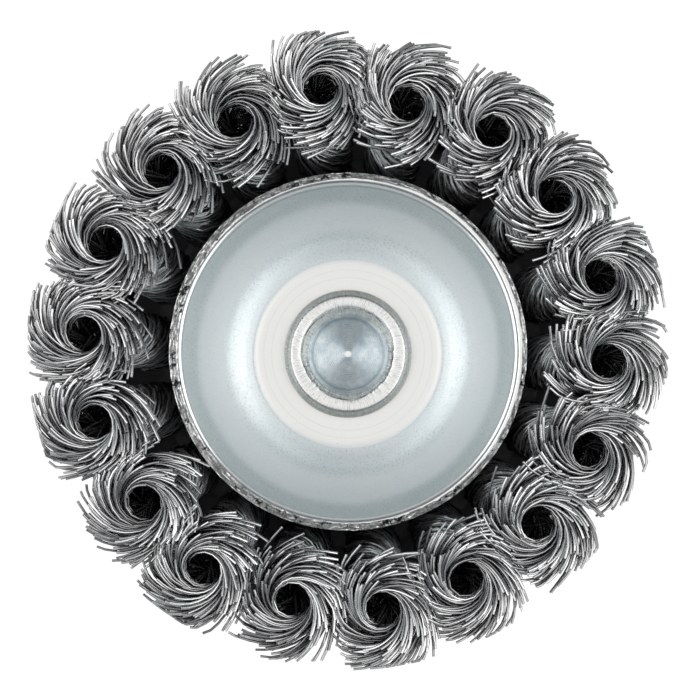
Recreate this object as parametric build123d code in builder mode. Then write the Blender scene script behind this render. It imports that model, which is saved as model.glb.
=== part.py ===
from build123d import *

import os
from math import cos, degrees, pi, radians, sin, sqrt, tan

# Twist-knot wire cup brush for an angle grinder, standing on its threaded nut with the wire up.
# A pressed cup and a pressed inner dish are clamped by the flared neck of the nut. Between them
# sits a ring plate. Each knot of wire is hooked round the rim of that plate, twisted into a
# left-handed rope and left to flare into a hollow pinwheel at its trimmed end.
# Millimetres, +Z along the brush axis towards the wire tips, origin at the mouth of the thread.

# Nut
hex_across_flats = 22.0
hex_height = 12.5
hex_corner_angle = 30.0
thread_minor_radius = 5.92
thread_depth = 13.5
mouth_chamfer = 1.2
drill_point_angle = 20.0
shoulder_radius = 12.5
shoulder_height = 3.5
neck_radius = 8.5
neck_clearance = 0.1
collar_radius = 10.6
collar_height = 2.3
collar_crest_radius = 9.2
collar_crest_width = 1.0
collar_bore_radius = 6.6
rivet_bore_radius = 5.9
rivet_bore_depth = 3.4
bore_step_height = 2.0

# Cup
cup_thickness = 2.0
cup_height = 21.0
cup_wall_gap = 0.2
cup_base_round = 3.0
cup_lean_angle = 8.0
cup_bead_radius = 1.3

# Plate that the knots are hooked on
plate_thickness = 2.0
plate_slope_run = 4.0
plate_land = 0.1
hook_web = 2.0
hook_gap = 0.15

# Inner dish
dish_thickness = 1.2
dish_height = 20.0
dish_rim_gap = 1.0
dish_heel = 6.0
dish_land_inset = 0.1
dish_land_depth = 0.3
dish_break_angle = 75.0
dish_rim_angle = 86.0

# Wire knots
knot_count = 18
first_knot_angle = -3.1
trim_length = 22.0
knot_ring_radius = 39.9
hook_inset = 8.9
hook_strand_radius = 1.8
hook_sides = 6
root_reach = 4.6
root_breadth = 3.8
rope_radius = 4.85
rope_groove = 0.45
rope_bands = 6
lay_angle = 40.0
lobe_count = 8
lobe_depth = 0.9
flare_height = 11.0
flare_neck_height = 5.0
flare_neck_reach = 7.2
flare_twist_angle = 45.0
head_reach = 10.2
head_sink = 2.4
head_shift = 0.8
head_gap = 0.15
head_twist_angle = 25.0
crown_inset = 4.0
funnel_inset = 6.6
funnel_sink = 1.4
core_radius = 2.6
core_mouth_sink = 4.5
core_end_radius = 1.9
core_depth = 13.0

# Levels up the axis, from the mouth of the nut
cup_seat_z = hex_height + shoulder_height
cup_floor_z = cup_seat_z + cup_thickness
cup_rim_z = cup_seat_z + cup_height
dish_seat_z = cup_floor_z + plate_thickness
dish_floor_z = dish_seat_z + dish_thickness
dish_rim_z = dish_seat_z + dish_height
tip_z = dish_rim_z + trim_length
collar_top_z = dish_floor_z + collar_height
rivet_bore_z = collar_top_z - rivet_bore_depth
ring_under_z = cup_floor_z + 2 * hook_strand_radius + 2 * hook_gap
ring_top_z = ring_under_z + plate_thickness

# Lean of the knots, from their hooks out to their heads
root_z = ring_top_z + hook_gap
root_sink = tip_z - root_z
knot_lean = hook_inset / root_sink
hook_ring_radius = knot_ring_radius - hook_inset

# Radii that the knots, the plate, the dish and the cup share
centre_hole_radius = neck_radius + neck_clearance
hook_half_span = hook_web / 2 + hook_gap + hook_strand_radius
hook_hole_radius = hook_strand_radius + hook_gap
plate_radius = hook_ring_radius + hook_web / 2
plate_slope_top = hook_ring_radius - hook_half_span - hook_hole_radius - plate_land
plate_seat_radius = plate_slope_top - plate_slope_run
dish_floor_radius = plate_seat_radius - dish_heel
dish_rim_radius = knot_ring_radius - trim_length * knot_lean - rope_radius - dish_rim_gap
hook_reach = hook_ring_radius + hook_half_span + hook_strand_radius
cup_turn = radians(90 - cup_lean_angle)
cup_inner_radius = hook_reach + cup_wall_gap + cup_base_round * tan(cup_turn / 2)

# Nut: hexagon with its corners turned off, shoulder, neck and flared collar
corner_radius = hex_across_flats / sqrt(3)
corner_fall = (corner_radius - hex_across_flats / 2) * tan(radians(hex_corner_angle))
thread_point = thread_minor_radius * tan(radians(drill_point_angle))
bore_point = rivet_bore_radius * tan(radians(drill_point_angle))
with BuildPart() as arbor_nut:
    with BuildSketch(Plane.XY):
        RegularPolygon(hex_across_flats / 2, 6, major_radius=False, rotation=30)
    extrude(amount=hex_height)
    with BuildSketch(Plane.XZ):
        with BuildLine():
            Polyline(
                (0, 0),
                (hex_across_flats / 2, 0),
                (corner_radius, corner_fall),
                (corner_radius, hex_height),
                (0, hex_height),
                close=True,
            )
        make_face()
    revolve(axis=Axis.Z, mode=Mode.INTERSECT)
    with BuildSketch(Plane.XZ):
        with BuildLine():
            neck_side = Polyline(
                (0, hex_height),
                (shoulder_radius, hex_height),
                (shoulder_radius, cup_seat_z),
                (neck_radius, cup_seat_z),
                (neck_radius, dish_floor_z),
                (collar_radius, dish_floor_z),
            )
            collar_outside = TangentArc(
                neck_side @ 1,
                (collar_crest_radius, collar_top_z),
                tangent=(0, 1),
            )
            Polyline(
                collar_outside @ 1,
                (collar_crest_radius - collar_crest_width, collar_top_z),
                (collar_bore_radius, rivet_bore_z + bore_step_height),
                (rivet_bore_radius, rivet_bore_z + bore_step_height),
                (rivet_bore_radius, rivet_bore_z),
                (0, rivet_bore_z - bore_point),
                (0, hex_height),
            )
        make_face()
    revolve(axis=Axis.Z)
    with BuildSketch(Plane.XZ):
        with BuildLine():
            Polyline(
                (0, 0),
                (thread_minor_radius + mouth_chamfer, 0),
                (thread_minor_radius, mouth_chamfer),
                (thread_minor_radius, thread_depth),
                (0, thread_depth + thread_point),
                close=True,
            )
        make_face()
    revolve(axis=Axis.Z, mode=Mode.SUBTRACT)

# Cup: one pressed sheet with a leaning wall and a rolled bead at its rim
cup_wall_run = cup_height * tan(radians(cup_lean_angle))
with BuildPart() as cup:
    with BuildSketch(Plane.XZ):
        with BuildLine():
            cup_outside = FilletPolyline(
                (centre_hole_radius, cup_seat_z),
                (cup_inner_radius + cup_thickness, cup_seat_z),
                (cup_inner_radius + cup_thickness + cup_wall_run, cup_rim_z),
                radius=cup_base_round + cup_thickness,
            )
            offset(cup_outside, amount=cup_thickness, side=Side.LEFT)
        make_face()
        with Locations(cup_outside @ 1):
            Circle(cup_bead_radius)
    revolve(axis=Axis.Z)

# Plate: flat seat, sloped step and a raised ring with one hole for each knot
with BuildPart() as knot_plate:
    with BuildSketch(Plane.XZ):
        with BuildLine():
            plate_under = Polyline(
                (centre_hole_radius, cup_floor_z),
                (plate_seat_radius, cup_floor_z),
                (plate_slope_top, ring_under_z),
                (plate_radius, ring_under_z),
            )
            offset(plate_under, amount=plate_thickness, side=Side.LEFT)
        make_face()
    revolve(axis=Axis.Z)
    with Locations((0, 0, ring_top_z)):
        with PolarLocations(hook_ring_radius - hook_half_span, knot_count, first_knot_angle):
            Hole(hook_hole_radius, depth=plate_thickness)

# Inner dish: a coined floor, then two tangent curves up to a steep sheared rim
break_angle = radians(dish_break_angle)
rim_angle = radians(dish_rim_angle)
dish_run = dish_rim_radius - dish_floor_radius
upper_run = sin(rim_angle) - sin(break_angle)
upper_rise = cos(break_angle) - cos(rim_angle)
lower_rise = 1 - cos(break_angle)
dish_upper_radius = (dish_height * sin(break_angle) - dish_run * lower_rise) / (
    upper_rise * sin(break_angle) - upper_run * lower_rise
)
dish_lower_radius = (dish_run - dish_upper_radius * upper_run) / sin(break_angle)
with BuildPart() as clamp_dish:
    with BuildSketch(Plane.XZ):
        with BuildLine():
            dish_under = Line((centre_hole_radius, dish_seat_z), (dish_floor_radius, dish_seat_z))
            lower_curve = JernArc(dish_under @ 1, (1, 0), dish_lower_radius, dish_break_angle)
            JernArc(
                lower_curve @ 1,
                lower_curve % 1,
                dish_upper_radius,
                dish_rim_angle - dish_break_angle,
            )
            offset(amount=dish_thickness, side=Side.LEFT)
        make_face()
    revolve(axis=Axis.Z)
    with BuildSketch(Plane.XY.offset(dish_floor_z)):
        Circle(dish_floor_radius - dish_land_inset)
        Circle(collar_radius, mode=Mode.SUBTRACT)
    extrude(amount=-dish_land_depth, mode=Mode.SUBTRACT)


# Knot: rings of ridge and valley points, joined by flat facets
def ring(sink, reach, turn, valley=0.0, breadth=1.0, inset=0.0, shift=0.0):
    """Level ring, sink mm under the wire tips, kept inside the sector of its own knot."""
    middle = knot_ring_radius - sink * knot_lean + shift
    points = []
    for step in range(2 * lobe_count):
        drop = valley * (step % 2)
        angle = radians(turn) + step * pi / lobe_count
        along = cos(angle)
        across = breadth * sin(angle)
        out = reach - drop
        approach = abs(across) - along * sector_slope
        if approach > 0:
            room = middle * sector_slope - (head_gap + drop + inset) * sector_secant
            out = min(out, room / approach)
        points.append(Vector(middle + out * along, out * across, tip_z - sink - drop))
    return points


def facet(corners):
    """Flat face through three or more corners."""
    return Face(Wire.make_polygon(corners, close=True))


def band(lower, upper):
    """Flat triangles between two rings that have the same number of points."""
    facets = []
    for here in range(len(lower)):
        past = (here + 1) % len(lower)
        facets.append(facet([lower[here], lower[past], upper[here]]))
        facets.append(facet([lower[past], upper[past], upper[here]]))
    return facets


def cap(edge, centre):
    """Flat triangles from the points of a ring to its centre."""
    return [facet([edge[here - 1], edge[here], centre]) for here in range(len(edge))]


sector_slope = tan(pi / knot_count)
sector_secant = 1 / cos(pi / knot_count)
rope_length = root_sink - flare_height
rope_turn = -degrees(rope_length * tan(radians(lay_angle)) / rope_radius)
neck_turn = rope_turn - flare_twist_angle
rim_turn = neck_turn - flare_twist_angle
crown_turn = rim_turn + head_twist_angle
funnel_turn = crown_turn + head_twist_angle
core_turn = funnel_turn + flare_twist_angle
crown_reach = head_reach - crown_inset
funnel_reach = head_reach - funnel_inset
crown_gap = crown_inset / 4
funnel_gap = funnel_inset / 4

rings = [ring(root_sink, root_reach, 0, breadth=root_breadth / root_reach)]
for count in range(1, rope_bands + 1):
    share = count / rope_bands
    rings.append(ring(root_sink - rope_length * share, rope_radius, rope_turn * share, rope_groove))
rings.append(ring(flare_neck_height, flare_neck_reach, neck_turn, lobe_depth))
rings.append(ring(head_sink, head_reach, rim_turn, lobe_depth, shift=head_shift))
rings.append(ring(0, crown_reach, crown_turn, lobe_depth, inset=crown_gap))
rings.append(ring(funnel_sink, funnel_reach, funnel_turn, lobe_depth, inset=funnel_gap))
rings.append(ring(core_mouth_sink, core_radius, core_turn))
rings.append(ring(core_depth, core_end_radius, core_turn))
knot_facets = cap(rings[0], Vector(hook_ring_radius, 0, root_z))
for lower, upper in zip(rings, rings[1:]):
    knot_facets += band(lower, upper)
core_end = Vector(knot_ring_radius - core_depth * knot_lean, 0, tip_z - core_depth)
knot_facets += cap(rings[-1], core_end)
knot_skin = Shell(knot_facets)

# Hook: the folded strands that pass down through the plate and up outside its rim
with BuildPart() as wire_knot:
    add(Solid(knot_skin))
    with BuildLine() as hook_line:
        hook_middle_z = ring_under_z - hook_gap - hook_strand_radius
        Polyline(
            (hook_ring_radius - hook_half_span, 0, root_z + hook_strand_radius),
            (hook_ring_radius - hook_half_span, 0, hook_middle_z),
            (hook_ring_radius + hook_half_span, 0, hook_middle_z),
            (hook_ring_radius + hook_half_span, 0, root_z + hook_strand_radius),
        )
    with BuildSketch(Plane(hook_line.line @ 0, z_dir=hook_line.line % 0)):
        RegularPolygon(hook_strand_radius, hook_sides)
    sweep(path=hook_line.line, transition=Transition.RIGHT)

# Names and files, one for each piece
os.makedirs("parts", exist_ok=True)
arbor_nut.part.label = "arbor_nut"
export_step(arbor_nut.part, "parts/arbor_nut.step")
cup.part.label = "cup"
export_step(cup.part, "parts/cup.step")
knot_plate.part.label = "knot_plate"
export_step(knot_plate.part, "parts/knot_plate.step")
clamp_dish.part.label = "clamp_dish"
export_step(clamp_dish.part, "parts/clamp_dish.step")
for number, place in enumerate(PolarLocations(0, knot_count, first_knot_angle), start=1):
    with BuildPart() as placed_knot:
        add(wire_knot.part.moved(place))
    placed_knot.part.label = f"wire_knot_{number:02d}"
    export_step(placed_knot.part, f"parts/wire_knot_{number:02d}.step")
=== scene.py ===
"""Wire cup brush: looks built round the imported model, in metres and in the same frame."""

import logging
import math
import random
from dataclasses import dataclass, field
from enum import Enum

import bmesh
import bpy
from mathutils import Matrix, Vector, noise


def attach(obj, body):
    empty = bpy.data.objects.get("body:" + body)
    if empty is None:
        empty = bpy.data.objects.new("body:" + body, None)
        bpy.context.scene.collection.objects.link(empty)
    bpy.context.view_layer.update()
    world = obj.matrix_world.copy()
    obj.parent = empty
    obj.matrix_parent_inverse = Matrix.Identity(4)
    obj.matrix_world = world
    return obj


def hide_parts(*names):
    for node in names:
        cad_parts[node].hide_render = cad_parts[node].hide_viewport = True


MM = 0.001
SEED = 20
MERGE = 0.001 * MM
WAVE_RATE = 20.0

Colour = tuple[float, float, float]
Profile = list[tuple[float, float]]
Socket = bpy.types.NodeSocket

log = logging.getLogger("cup_brush")

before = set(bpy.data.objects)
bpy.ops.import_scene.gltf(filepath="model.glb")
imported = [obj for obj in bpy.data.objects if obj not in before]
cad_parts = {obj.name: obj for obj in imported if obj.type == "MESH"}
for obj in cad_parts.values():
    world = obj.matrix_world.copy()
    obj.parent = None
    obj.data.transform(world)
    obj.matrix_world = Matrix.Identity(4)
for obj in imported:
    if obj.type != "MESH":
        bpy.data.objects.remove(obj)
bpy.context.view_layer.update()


def smooth_step(value: float) -> float:
    """Ease a share from 0 to 1 with level ends."""
    share = min(max(value, 0.0), 1.0)
    return share * share * (3 - 2 * share)


def select_only(piece: bpy.types.Object) -> None:
    """Deselect everything, then select one object and make it active.

    Args:
        piece: The object.
    """
    bpy.ops.object.select_all(action="DESELECT")
    piece.select_set(True)
    bpy.context.view_layer.objects.active = piece


def draw_profile(name: str, points: Profile) -> bpy.types.Object:
    """Draw a line of radius and height by extruding a vertex, and stay in edit mode.

    Args:
        name: Name of the new piece.
        points: Pairs of radius and height, in order along the line.

    Returns:
        The piece, with all of it selected.
    """
    bpy.ops.object.select_all(action="DESELECT")
    bpy.ops.mesh.primitive_plane_add(size=MM)
    piece = bpy.context.active_object
    piece.name = name
    bpy.ops.object.mode_set(mode="EDIT")
    bpy.ops.mesh.select_all(action="SELECT")
    bpy.ops.mesh.merge(type="CENTER")
    bpy.ops.transform.translate(value=(points[0][0], 0.0, points[0][1]))
    for past, here in zip(points, points[1:]):
        step = (here[0] - past[0], 0.0, here[1] - past[1])
        bpy.ops.mesh.extrude_region_move(TRANSFORM_OT_translate={"value": step})
    bpy.ops.mesh.select_all(action="SELECT")
    return piece


def turn_profile(name: str, points: Profile, steps: int) -> bpy.types.Object:
    """Draw a closed profile and spin it round the Z axis.

    Args:
        name: Name of the new piece.
        points: Pairs of radius and height, in order round the profile.
        steps: Number of steps in the full turn.

    Returns:
        The spun piece, at the origin.
    """
    piece = draw_profile(name, points + points[:1])
    bpy.ops.mesh.spin(steps=steps, angle=math.tau, center=(0.0, 0.0, 0.0), axis=(0.0, 0.0, 1.0))
    bpy.ops.mesh.select_all(action="SELECT")
    bpy.ops.mesh.remove_doubles(threshold=2 * MERGE)
    bpy.ops.mesh.normals_make_consistent(inside=False)
    bpy.ops.object.mode_set(mode="OBJECT")
    return piece


def copy_node(node: str, name: str) -> bpy.types.Object:
    """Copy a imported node, merge its loose triangles and drop its stored normals.

    Args:
        node: Name of the node.
        name: Name of the new piece.

    Returns:
        The copy, selected and bare of materials.
    """
    piece = bpy.data.objects.new(name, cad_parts[node].data.copy())
    bpy.context.scene.collection.objects.link(piece)
    select_only(piece)
    bpy.ops.object.mode_set(mode="EDIT")
    bpy.ops.mesh.select_all(action="SELECT")
    bpy.ops.mesh.remove_doubles(threshold=MERGE)
    bpy.ops.object.mode_set(mode="OBJECT")
    bpy.ops.mesh.customdata_custom_splitnormals_clear()
    piece.data.materials.clear()
    return piece


class Slot(Enum):
    """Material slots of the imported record."""

    NUT = "nut_steel"
    ZINC = "zinc_plate"
    PLATE = "plain_steel"
    WIRE = "knot_wire"


class NodeKit:
    """Adds and wires the nodes of one tree."""

    def __init__(self, tree: bpy.types.NodeTree, place: str) -> None:
        """Take a tree and the coordinates that its patterns read.

        Args:
            tree: Node tree of a material or of the world.
            place: Output of Texture Coordinate.
        """
        self.tree = tree
        self.place = self.add("ShaderNodeTexCoord", {}).outputs[place]

    def add(self, kind: str, inputs: dict[str | int, object], **settings: object) -> bpy.types.Node:
        """Add a node, set its own properties and feed its inputs.

        Args:
            kind: Blender's name for the node type.
            inputs: A socket, number or tuple for each input, by name or place.
            **settings: Properties of the node, by name.

        Returns:
            The new node.
        """
        node = self.tree.nodes.new(kind)
        for name, value in settings.items():
            setattr(node, name, value)
        for name, value in inputs.items():
            self.feed(node.inputs[name], value)
        return node

    def feed(self, target: Socket, value: object) -> None:
        """Link an input to a socket, or set it to a constant.

        Args:
            target: The input.
            value: Socket, number or tuple; a colour gets its alpha here.
        """
        if isinstance(value, Socket):
            self.tree.links.new(value, target)
        elif isinstance(value, tuple) and len(value) < len(target.default_value):
            target.default_value = (*value, 1.0)
        else:
            target.default_value = value

    def calc(self, kind: str, first: object, second: object) -> Socket:
        """Work out a Math node.

        Args:
            kind: Operation of the node, such as ADD.
            first: Socket or number for its first input.
            second: Socket or number for its second input.

        Returns:
            The socket with the result.
        """
        return self.add("ShaderNodeMath", {0: first, 1: second}, operation=kind).outputs[0]

    def times(self, product: object, *others: object) -> Socket:
        """Multiply sockets or numbers.

        Args:
            product: The first of them.
            *others: The others.

        Returns:
            The socket with the product.
        """
        for other in others:
            product = self.calc("MULTIPLY", product, other)
        return product

    def zone(self, source: Socket, start: float, end: float) -> Socket:
        """Soft switch from 0 to 1 between two values.

        Args:
            source: Socket with the value.
            start: Value where the switch leaves 0.
            end: Value where it reaches 1.

        Returns:
            The socket with the switch.
        """
        inputs = {"Value": source, "From Min": start, "From Max": end}
        return self.add("ShaderNodeMapRange", inputs, interpolation_type="SMOOTHSTEP").outputs[0]

    def band(self, source: Socket, start: float, full: float, fade: float, end: float) -> Socket:
        """Soft band that rises from 0 to 1 and falls back to 0.

        Args:
            source: Socket with the value.
            start: Value where the band leaves 0.
            full: Value where it reaches 1.
            fade: Value where it leaves 1.
            end: Value where it is 0 again.

        Returns:
            The socket with the band.
        """
        return self.times(self.zone(source, start, full), self.zone(source, end, fade))

    def spread(self, source: Socket, low: float, high: float) -> Socket:
        """Map a value from 0 and 1 to two other numbers.

        Args:
            source: Socket with the value.
            low: Result at 0.
            high: Result at 1.

        Returns:
            The socket with the result.
        """
        inputs = {"Value": source, "To Min": low, "To Max": high}
        return self.add("ShaderNodeMapRange", inputs).outputs[0]

    def blend(self, share: Socket, first: object, second: object) -> Socket:
        """Mix two colours.

        Args:
            share: Socket with the share of the second colour.
            first: Socket or colour.
            second: Socket or colour.

        Returns:
            The socket with the mixed colour.
        """
        inputs = {"Factor": share, 6: first, 7: second}
        return self.add("ShaderNodeMix", inputs, data_type="RGBA").outputs[2]

    def ramp(self, source: Socket, *stops: tuple[float, Colour]) -> Socket:
        """Turn a value into a colour.

        Args:
            source: Socket with the value.
            *stops: Pairs of a value and the colour there.

        Returns:
            The socket with the colour.
        """
        node = self.add("ShaderNodeValToRGB", {"Fac": source})
        points = node.color_ramp.elements
        while len(points) < len(stops):
            points.new(0.5)
        for point, (value, colour) in zip(points, stops):
            point.position = value
            point.color = (*colour, 1.0)
        return node.outputs["Color"]


class Coat(NodeKit):
    """A Principled material that is wired node by node."""

    def __init__(self, name: str, metallic: float, roughness: float) -> None:
        """Start a material.

        Args:
            name: Name of the material.
            metallic: Metallic value of the whole surface.
            roughness: Roughness where nothing else is wired in.
        """
        self.material = bpy.data.materials.new(name)
        self.material.use_nodes = True
        super().__init__(self.material.node_tree, "Object")
        self.shader = self.tree.nodes["Principled BSDF"].inputs
        self.feed(self.shader["Metallic"], metallic)
        self.feed(self.shader["Roughness"], roughness)

    def noise(
        self, scale: float, detail: float = 3.0, roughness: float = 0.6, place: Socket | None = None
    ) -> Socket:
        """Cloudy pattern.

        Args:
            scale: Frequency of the pattern, in cycles a metre.
            detail: Number of finer layers.
            roughness: Strength of the finer layers.
            place: Coordinates, or None for Object coordinates.

        Returns:
            The socket with the pattern's value.
        """
        inputs = {"Vector": place or self.place, "Scale": scale, "Detail": detail}
        return self.add("ShaderNodeTexNoise", {**inputs, "Roughness": roughness}).outputs[0]

    def rings(self, pitch: float, waver: float) -> Socket:
        """Concentric rings round the Z axis.

        Args:
            pitch: Distance from ring to ring, in metres.
            waver: How far the rings are disturbed.

        Returns:
            The socket with the rings' height.
        """
        inputs = {"Vector": self.place, "Scale": math.tau / WAVE_RATE / pitch, "Distortion": waver}
        settings = {"wave_type": "RINGS", "rings_direction": "Z"}
        return self.add("ShaderNodeTexWave", {**inputs, "Detail": 2.0}, **settings).outputs["Fac"]

    def vector(self, kind: str, *values: object) -> bpy.types.Node:
        """Add a Vector Math node with its inputs in order."""
        return self.add("ShaderNodeVectorMath", dict(enumerate(values)), operation=kind)

    def flat(self) -> Socket:
        """Place with its height left out."""
        return self.vector("MULTIPLY", self.place, (1.0, 1.0, 0.0)).outputs["Vector"]

    def radius(self) -> Socket:
        """Distance from the Z axis, in metres."""
        return self.vector("LENGTH", self.flat()).outputs["Value"]

    def height(self) -> Socket:
        """Height above the foot of the nut, in metres."""
        return self.add("ShaderNodeSeparateXYZ", {"Vector": self.place}).outputs["Z"]

    def streaks(self, scale: float, slip: float = 14.0) -> Socket:
        """Pattern of radial streaks round the Z axis.

        Args:
            scale: Number of streaks in one radian, roughly.
            slip: How soon a streak breaks off along its length.

        Returns:
            The socket with the pattern's value.
        """
        unit = self.vector("NORMALIZE", self.flat()).outputs["Vector"]
        broken = self.vector("MULTIPLY_ADD", self.place, (slip, slip, slip), unit)
        return self.noise(scale, 4.0, 0.5, broken.outputs["Vector"])

    def attribute(self, name: str) -> Socket:
        """Value that the mesh carries at each of its points."""
        return self.add("ShaderNodeAttribute", {}, attribute_name=name).outputs["Fac"]

    def tint(self, colour: Socket) -> None:
        """Wire a colour to the surface."""
        self.feed(self.shader["Base Color"], colour)

    def gloss(self, roughness: Socket) -> None:
        """Wire a roughness to the surface."""
        self.feed(self.shader["Roughness"], roughness)

    def brush_round(self, amount: float) -> None:
        """Stretch the highlights across concentric tool marks.

        Args:
            amount: Strength of the stretch, from 0 to 1.
        """
        self.feed(self.shader["Anisotropic"], amount)
        self.feed(self.shader["Anisotropic Rotation"], 0.25)
        tangent = self.add("ShaderNodeTangent", {}, direction_type="RADIAL", axis="Z")
        self.feed(self.shader["Tangent"], tangent.outputs["Tangent"])

    def relief(self, height: Socket, depth: float, strength: float = 1.0) -> None:
        """Wire a bump, on top of any that is there.

        Args:
            height: Socket with the height, from 0 to 1.
            depth: Depth in metres of the full height.
            strength: Share of the bump that is used.
        """
        inputs = {"Height": height, "Distance": depth, "Strength": strength}
        if self.shader["Normal"].is_linked:
            inputs["Normal"] = self.shader["Normal"].links[0].from_socket
        self.feed(self.shader["Normal"], self.add("ShaderNodeBump", inputs).outputs["Normal"])


@dataclass(frozen=True)
class Finish:
    """A finish, which paints one material."""

    name: str = "plain"
    metallic: float = 1.0
    roughness: float = 0.5

    def paint(self) -> bpy.types.Material:
        """Make the material.

        Returns:
            The finished material.
        """
        coat = Coat(self.name, self.metallic, self.roughness)
        self.lay(coat)
        return coat.material

    def lay(self, coat: Coat) -> None:
        """Wire the patterns of the finish into its material; a plain one has none."""


@dataclass(frozen=True)
class WireFinish(Finish):
    """Drawn steel wire, each wire with its own tone and with painted shade and some grime, darker down
    in the bundle, low on the rope and on the heads' outer side.
    """

    name: str = "drawn_wire"
    roughness: float = 0.3
    # Dark colour of the painted shade, with some grime.
    shade_and_grime_dark: Colour = (0.15, 0.15, 0.152)
    dark: Colour = (0.26, 0.26, 0.26)
    bright: Colour = (0.97, 0.97, 0.96)
    mottle: float = 0.3
    mottle_rate: float = 700.0
    gloss_rate: float = 2600.0
    gloss_range: tuple[float, float] = (0.14, 0.34)
    mark_rate: float = 5200.0
    mark_depth: float = 0.02 * MM
    mark_share: float = 0.4

    def lay(self, coat: Coat) -> None:
        """Wire the tone, the painted shade with some grime, and the drawing marks.

        Args:
            coat: Material to wire.
        """
        patches = coat.spread(coat.noise(self.mottle_rate), -self.mottle, self.mottle)
        tone = coat.calc("ADD", coat.attribute("wire_tone"), patches)
        clean = coat.ramp(tone, (0.0, self.dark), (1.0, self.bright))
        # Painted shade with some grime: each wire goes towards the dark colour by its share.
        coat.tint(coat.blend(coat.attribute("wire_depth"), clean, self.shade_and_grime_dark))
        coat.gloss(coat.spread(coat.noise(self.gloss_rate), *self.gloss_range))
        coat.relief(coat.noise(self.mark_rate), self.mark_depth, self.mark_share)


@dataclass(frozen=True)
class CutEndFinish(Finish):
    """Bright sheared end of a wire."""

    name: str = "cut_end"
    roughness: float = 0.42
    dull: Colour = (0.5, 0.5, 0.5)
    bright: Colour = (0.95, 0.95, 0.95)
    patch_rate: float = 4000.0
    grain_rate: float = 6000.0
    grain_depth: float = 0.04 * MM

    def lay(self, coat: Coat) -> None:
        """Wire the grain of the cut."""
        coat.tint(coat.ramp(coat.noise(self.patch_rate), (0.3, self.dull), (0.55, self.bright)))
        coat.relief(coat.noise(self.grain_rate), self.grain_depth)


@dataclass(frozen=True)
class ZincFinish(Finish):
    """Satin blue-white zinc plating on pressed sheet."""

    name: str = "zinc_plating"
    metallic: float = 0.75
    roughness: float = 0.54
    polish: float = 0.38
    blue: Colour = (0.74, 0.82, 0.84)
    white: Colour = (0.88, 0.92, 0.92)
    speck: Colour = (0.6, 0.65, 0.66)
    ring_pitch: float = 0.9 * MM
    ring_depth: float = 0.0015 * MM
    ring_waver: float = 1.5
    satin_rate: float = 1500.0
    grain_rate: float = 2600.0
    grain_depth: float = 0.01 * MM
    grain_share: float = 0.8
    cloud_rate: float = 60.0
    speck_rate: float = 3600.0
    speck_zone: tuple[float, float] = (0.5, 0.72)

    def satin(self, coat: Coat) -> Socket:
        """Roughness of the plating."""
        return coat.spread(coat.noise(self.satin_rate), self.polish, self.roughness)

    def plating(self, coat: Coat) -> Socket:
        """Lay the fine grain and the drawing rings, and mix the cloudy, specked colour.

        Args:
            coat: Material that it belongs to.

        Returns:
            The socket with the colour.
        """
        coat.relief(coat.rings(self.ring_pitch, self.ring_waver), self.ring_depth)
        coat.relief(coat.noise(self.grain_rate, 4.0), self.grain_depth, self.grain_share)
        clouds = coat.ramp(coat.noise(self.cloud_rate, 4.0), (0.3, self.blue), (0.7, self.white))
        specks = coat.zone(coat.noise(self.speck_rate, 2.0), *self.speck_zone)
        return coat.blend(specks, clouds, self.speck)

    def lay(self, coat: Coat) -> None:
        """Wire the plating."""
        coat.gloss(self.satin(coat))
        coat.tint(self.plating(coat))


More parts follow.
